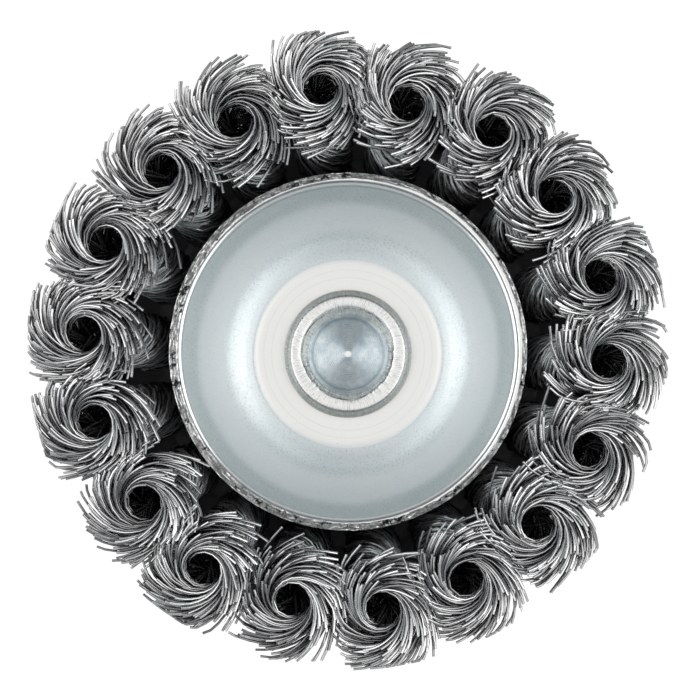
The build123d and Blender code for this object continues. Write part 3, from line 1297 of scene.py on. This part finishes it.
    def build(self) -> list[bpy.types.Object]:
        """Model and dress the dish.

        Returns:
            The finished piece, in a list.
        """
        piece = turn_profile("clamp_dish_sheet", self.profile(), self.turn_steps)
        self.tear_rim(piece)
        select_only(piece)
        bpy.ops.object.shade_smooth_by_angle(angle=math.radians(self.smooth_angle))
        mesh = piece.data
        mesh.materials.append(DishFinish().paint())
        mesh.materials.append(ShearedFinish().paint())
        outer = self.curve(0.0)[-1][0]
        for face in mesh.polygons:
            middle = face.center / MM
            radius = math.hypot(middle.x, middle.y)
            share = (outer - radius) / self.thickness
            turn = Vector((middle.x, middle.y, 0.0)) / radius
            if middle.z > self.rim_z - self.torn_band and share < self.torn_share(turn):
                face.material_index = 1
        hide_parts("clamp_dish")
        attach(piece, "root")
        return [piece]


class Patch(Enum):
    """Places of the nut's materials on its mesh."""

    TURNED = 0
    COLLAR = 1
    BORE = 2
    FLATS = 3


@dataclass
class Nut:
    """Threaded nut with its neck flared over the dish."""

    minor_radius: float = 5.92
    major_radius: float = 7.1
    pitch: float = 2.0
    thread_foot: float = 1.2
    thread_top: float = 13.5
    turn_steps: int = 56
    neck_radius: float = 8.5
    seat_z: float = 16.0
    collar_z: float = 21.2
    collar_radius: float = 10.65
    collar_corner: float = 0.15
    collar_steps: int = 360
    crest_z: float = 23.5
    crest_outer: float = 9.25
    crest_inner: float = 8.15
    crest_steps: int = 10
    crest_line: tuple[tuple[float, float], ...] = (
        (8.85, 23.52), (8.45, 23.5), (8.15, 23.44), (7.95, 23.25),
    )
    bore_z: float = 22.1
    bore_wall: float = 6.6
    bore_line: tuple[tuple[float, float], ...] = (
        (6.72, 22.32), (6.6, 22.2), (6.27, 22.05), (6.13, 21.9), (6.05, 21.5), (5.85, 20.55),
    )
    disc_radius: float = 5.85
    disc_z: float = 20.1
    hex_top: float = 12.6
    burr_radius: float = 7.25
    burr_height: float = 0.3
    burr_even: float = 0.5
    burr_reach: float = 0.12
    burr_rings: tuple[float, ...] = (0.3, 0.1, 0.0, -0.1)
    fold: float = 0.2
    fold_torn: float = 0.42
    fold_ragged: float = 0.22
    fold_wave: float = 0.08
    fold_wave_rate: float = 5.0
    fold_edge: float = 0.5
    fold_blur: float = 0.3
    ragged_rate: float = 13.0
    ragged_fine_rate: float = 37.0
    ragged_fine: float = 0.7
    tear_spread: float = 1.5
    tears: tuple[tuple[float, float], ...] = ((228.0, 34.0), (330.0, 40.0))
    disc_lip: tuple[tuple[float, float], ...] = ((0.98, 0.26), (0.95, 0.13), (0.91, 0.04), (0.86, 0.0))
    disc_rings: tuple[float, ...] = (0.6, 0.35, 0.15, 0.09, 0.0)
    disc_dip: float = 0.08
    disc_dot: float = 0.09
    smooth_angle: float = 28.0
    flat_angle: float = 12.0
    slack: float = 0.05
    seat_lift: float = 0.02
    collar_undercut: float = 0.2
    neck_cover: float = 1.0
    bore_drop: float = 0.2
    upright: float = 0.2

    def collar_profile(self) -> Profile:
        """Draw the section of the neck, the flared collar and the blind bore.

        Returns:
            Pairs of radius and height, in metres.
        """
        foot = self.seat_z + self.seat_lift
        corner_z = self.collar_z + self.collar_corner
        points = [(self.neck_radius, foot), (self.neck_radius, self.collar_z)]
        points.append((self.collar_radius - self.collar_undercut, self.collar_z))
        points.append((self.collar_radius, corner_z))
        width = self.collar_radius - self.crest_outer
        for step in range(1, self.crest_steps + 1):
            angle = math.pi / 2 * step / self.crest_steps
            height = corner_z + (self.crest_z - corner_z) * math.sin(angle)
            points.append((self.crest_outer + width * math.cos(angle), height))
        points += self.crest_line
        for offset in self.burr_rings:
            points.append((self.burr_radius + offset, self.slope_z(self.burr_radius + offset)))
        points += self.bore_line
        for share, rise in self.disc_lip:
            points.append((self.disc_radius * share, self.disc_z + rise))
        for share in self.disc_rings:
            dip = self.disc_dip * math.cos(math.pi / 2 * share)
            points.append((self.disc_radius * share, self.disc_z - dip))
        points.append((0.0, foot))
        return [(radius * MM, height * MM) for radius, height in points]

    def slope_z(self, radius: float) -> float:
        """Height of the collar's inner slope at a radius."""
        (top, top_z), (foot, foot_z) = self.crest_line[-1], self.bore_line[0]
        return foot_z + (top_z - foot_z) * (radius - foot) / (top - foot)

    def spin_collar(self) -> bpy.types.Object:
        """Spin the collar and raise the thin burr that the flaring left.

        Returns:
            The collar.
        """
        piece = turn_profile("nut_collar", self.collar_profile(), self.collar_steps)
        for vertex in piece.data.vertices:
            x, y, z = vertex.co / MM
            radius = math.hypot(x, y)
            if z < self.bore_z + self.slack * 3 or not self.bore_wall < radius < self.crest_outer:
                continue
            turn = Vector((x, y, 0.0)) / radius
            bearing = math.degrees(math.atan2(y, x))
            torn = 0.0
            for place, width in self.tears:
                away = abs((bearing - place + 180) % 360 - 180)
                torn += smooth_step(self.tear_spread - away / width)
            ragged = noise.noise(turn * self.ragged_rate)
            ragged += self.ragged_fine * noise.noise(turn * self.ragged_fine_rate)
            fold = self.fold + torn * (self.fold_torn + self.fold_ragged * ragged)
            rise = (radius - self.bore_wall) / (self.crest_inner - self.bore_wall)
            inside = smooth_step((self.crest_outer - self.fold_edge - radius) / self.fold_blur)
            reach = min(max(rise, 0.0), 1.0) * inside
            wave = noise.noise(turn * self.fold_wave_rate + Vector((0.0, 0.0, 2.0)))
            vertex.co += turn * (self.fold_wave * wave - fold * reach) * MM
            if radius < self.burr_radius + self.burr_reach / 2:
                near = max(1 - abs(radius - self.burr_radius) / self.burr_reach, 0.0)
                vertex.co.z += self.burr_height * (self.burr_even + ragged) * torn * near * MM
        return piece

    def cut_thread(self) -> bpy.types.Object:
        """Wind the right-hand thread that lines the bore.

        Returns:
            The thread's surface.
        """
        flat = self.pitch / 8
        points = [
            (self.minor_radius, 0.0),
            (self.minor_radius, flat * 2),
            (self.major_radius, self.pitch / 2 + flat / 2),
            (self.major_radius, self.pitch / 2 + flat * 1.5),
            (self.minor_radius, self.pitch),
        ]
        foot = self.thread_foot - self.pitch
        points = [(radius * MM, (height + foot) * MM) for radius, height in points]
        thread = draw_profile("nut_thread", points)
        bpy.ops.object.mode_set(mode="OBJECT")
        screw = thread.modifiers.new("screw", "SCREW")
        screw.screw_offset = self.pitch * MM
        screw.iterations = math.ceil((self.thread_top - self.thread_foot) / self.pitch) + 1
        screw.steps = self.turn_steps
        screw.render_steps = self.turn_steps
        screw.use_merge_vertices = False
        bpy.ops.object.modifier_apply(modifier=screw.name)
        bpy.ops.object.mode_set(mode="EDIT")
        bpy.ops.mesh.select_all(action="SELECT")
        bpy.ops.mesh.remove_doubles(threshold=MERGE)
        for height, keep_above in ((self.thread_foot, True), (self.thread_top, False)):
            bpy.ops.mesh.select_all(action="SELECT")
            bpy.ops.mesh.bisect(
                plane_co=(0.0, 0.0, height * MM),
                plane_no=(0.0, 0.0, 1.0),
                clear_inner=keep_above,
                clear_outer=not keep_above,
            )
        bpy.ops.object.mode_set(mode="OBJECT")
        return thread

    def open_bore(self, piece: bpy.types.Object) -> None:
        """Take out the plain wall of the bore and the neck, for the thread and the spun collar.

        Args:
            piece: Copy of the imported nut.
        """
        mesh = bmesh.new()
        mesh.from_mesh(piece.data)
        wall = []
        for face in mesh.faces:
            radii = [math.hypot(vertex.co.x, vertex.co.y) / MM for vertex in face.verts]
            heights = [vertex.co.z / MM for vertex in face.verts]
            plain = all(abs(radius - self.minor_radius) < self.slack for radius in radii)
            below = max(heights) < self.thread_top + 2 * self.slack
            above = min(heights) > self.thread_foot - 2 * self.slack
            if max(heights) > self.seat_z + self.seat_lift / 2 or (plain and below and above):
                wall.append(face)
        bmesh.ops.delete(mesh, geom=wall, context="FACES")
        mesh.to_mesh(piece.data)
        mesh.free()

    def face_inwards(self, thread: bpy.types.Object) -> None:
        """Turn the thread's faces towards its axis.

        Args:
            thread: The thread's surface.
        """
        mesh = bmesh.new()
        mesh.from_mesh(thread.data)
        mesh.normal_update()
        away = [face for face in mesh.faces if self.leans_out(face)]
        bmesh.ops.reverse_faces(mesh, faces=away)
        mesh.to_mesh(thread.data)
        mesh.free()

    def leans_out(self, face: bmesh.types.BMFace) -> bool:
        """Tell whether a face of the thread looks away from the axis."""
        middle = face.calc_center_median()
        return face.normal.x * middle.x + face.normal.y * middle.y > 0

    def build(self) -> list[bpy.types.Object]:
        """Model and dress the nut.

        Returns:
            The finished piece, in a list.
        """
        piece = copy_node("arbor_nut", "arbor_nut_turned")
        self.open_bore(piece)
        thread = self.cut_thread()
        self.face_inwards(thread)
        collar = self.spin_collar()
        angles = ((thread, self.smooth_angle), (collar, self.smooth_angle), (piece, self.flat_angle))
        for part, angle in angles:
            select_only(part)
            bpy.ops.object.shade_smooth_by_angle(angle=math.radians(angle))
        thread.select_set(True)
        collar.select_set(True)
        bpy.ops.object.join()
        mesh = piece.data
        mesh.materials.clear()
        flats = TurnedFinish(name="nut_flats", roughness=0.36, stretch=0.0)
        for finish in (TurnedFinish(), CollarFinish(), BoreFinish(), flats):
            mesh.materials.append(finish.paint())
        for face in mesh.polygons:
            middle = face.center / MM
            radius = math.hypot(middle.x, middle.y)
            flat = middle.z < self.hex_top and radius > self.neck_radius
            flat = flat and abs(face.normal.z) < self.upright
            patch = Patch.FLATS if flat else Patch.TURNED
            if middle.z > self.seat_z + self.neck_cover and radius < self.bore_wall - self.slack:
                patch = Patch.BORE if radius > self.disc_radius * self.disc_dot else Patch.COLLAR
            elif middle.z > self.bore_z - self.bore_drop:
                patch = Patch.COLLAR
            face.material_index = patch.value
        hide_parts("arbor_nut")
        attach(piece, "root")
        return [piece]


@dataclass
class Pressings:
    """The outer cup and the hidden plate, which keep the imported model's shape."""

    smooth_angle: float = 30.0

    def build(self) -> list[bpy.types.Object]:
        """Model and dress the two sheets.

        Returns:
            The finished pieces.
        """
        pieces = []
        parts = (("cup", CupFinish(), Slot.ZINC), ("knot_plate", ShadedPlateFinish(), Slot.PLATE))
        for node, finish, slot in parts:
            piece = copy_node(node, f"{node}_sheet")
            bpy.ops.object.shade_smooth_by_angle(angle=math.radians(self.smooth_angle))
            piece.data.materials.append(finish.paint())
            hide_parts(node)
            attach(piece, "root")
            pieces.append(piece)
        return pieces


@dataclass
class Studio:
    """Floor, camera, world and lamps."""

    tip_z: float = 62.0 * MM
    camera_height: float = 500.0 * MM
    camera_back: float = 12.0 * MM
    sensor: float = 36.0
    view_width: float = 107.4 * MM
    floor_size: float = 4.0
    sky: tuple[tuple[float, Colour], ...] = (
        (0.0, (0.34, 0.36, 0.37)),
        (0.6, (0.4, 0.43, 0.45)),
        (1.0, (0.46, 0.49, 0.5)),
    )
    band_light: Colour = (1.0, 1.0, 1.0)
    band_width: tuple[float, float] = (0.45, 0.08)
    band_height: tuple[float, float] = (0.3, 0.65)
    lamp_size: float = 0.65
    lamp_power: float = 1.6
    lamps: tuple[tuple[str, tuple[float, float, float]], ...] = (
        ("left_softbox", (-0.45, 0.02, 0.5)),
        ("right_softbox", (0.45, -0.02, 0.5)),
    )

    def add_camera(self) -> None:
        """Place the camera straight over the wire tips, a little to the front."""
        data = bpy.data.cameras.new("camera")
        data.sensor_width = self.sensor
        data.lens = self.sensor * self.camera_height / self.view_width
        camera = bpy.data.objects.new("camera", data)
        bpy.context.scene.collection.objects.link(camera)
        camera.location = (0.0, -self.camera_back, self.tip_z + self.camera_height)
        camera.rotation_euler = (math.atan(self.camera_back / self.camera_height), 0.0, 0.0)
        bpy.context.scene.camera = camera

    def add_floor(self) -> None:
        """Lay the floor that the nut stands on."""
        bpy.ops.object.select_all(action="DESELECT")
        bpy.ops.mesh.primitive_plane_add(size=self.floor_size)
        floor = bpy.context.active_object
        floor.name = "floor"
        floor.data.materials.append(StageFinish().paint())

    def add_lamp(self, name: str, place: tuple[float, float, float]) -> None:
        """Hang one square soft lamp that faces the brush.

        Args:
            name: Name of the lamp.
            place: Where it hangs, in metres.
        """
        data = bpy.data.lights.new(name, "AREA")
        data.size = self.lamp_size
        data.energy = self.lamp_power
        lamp = bpy.data.objects.new(name, data)
        bpy.context.scene.collection.objects.link(lamp)
        lamp.location = place
        aim = -lamp.location
        lamp.rotation_euler = aim.to_track_quat("-Z", "Y").to_euler()

    def add_world(self) -> None:
        """Light the room softly, with a brighter band overhead from left to right."""
        world = bpy.data.worlds.new("room")
        world.use_nodes = True
        bpy.context.scene.world = world
        room = NodeKit(world.node_tree, "Generated")
        parts = room.add("ShaderNodeSeparateXYZ", {"Vector": room.place}).outputs
        aside = room.add("ShaderNodeMath", {0: parts["Y"]}, operation="ABSOLUTE").outputs[0]
        share = room.times(room.zone(aside, *self.band_width), room.zone(parts["Z"], *self.band_height))
        sky = room.blend(share, room.ramp(parts["Z"], *self.sky), self.band_light)
        room.feed(room.tree.nodes["Background"].inputs["Color"], sky)

    def build(self) -> None:
        """Set up the whole studio."""
        self.add_camera()
        self.add_floor()
        self.add_world()
        for name, place in self.lamps:
            self.add_lamp(name, place)
        bpy.context.scene.view_settings.view_transform = "Standard"


def main() -> None:
    """Build the brush and its studio."""
    logging.basicConfig(level=logging.INFO)
    Studio().build()
    pieces = Nut().build() + Pressings().build() + Dish().build() + KnotRing().build()
    for piece in pieces:
        log.info("%s: %d faces", piece.name, len(piece.data.polygons))


if __name__ == "__main__":
    main()
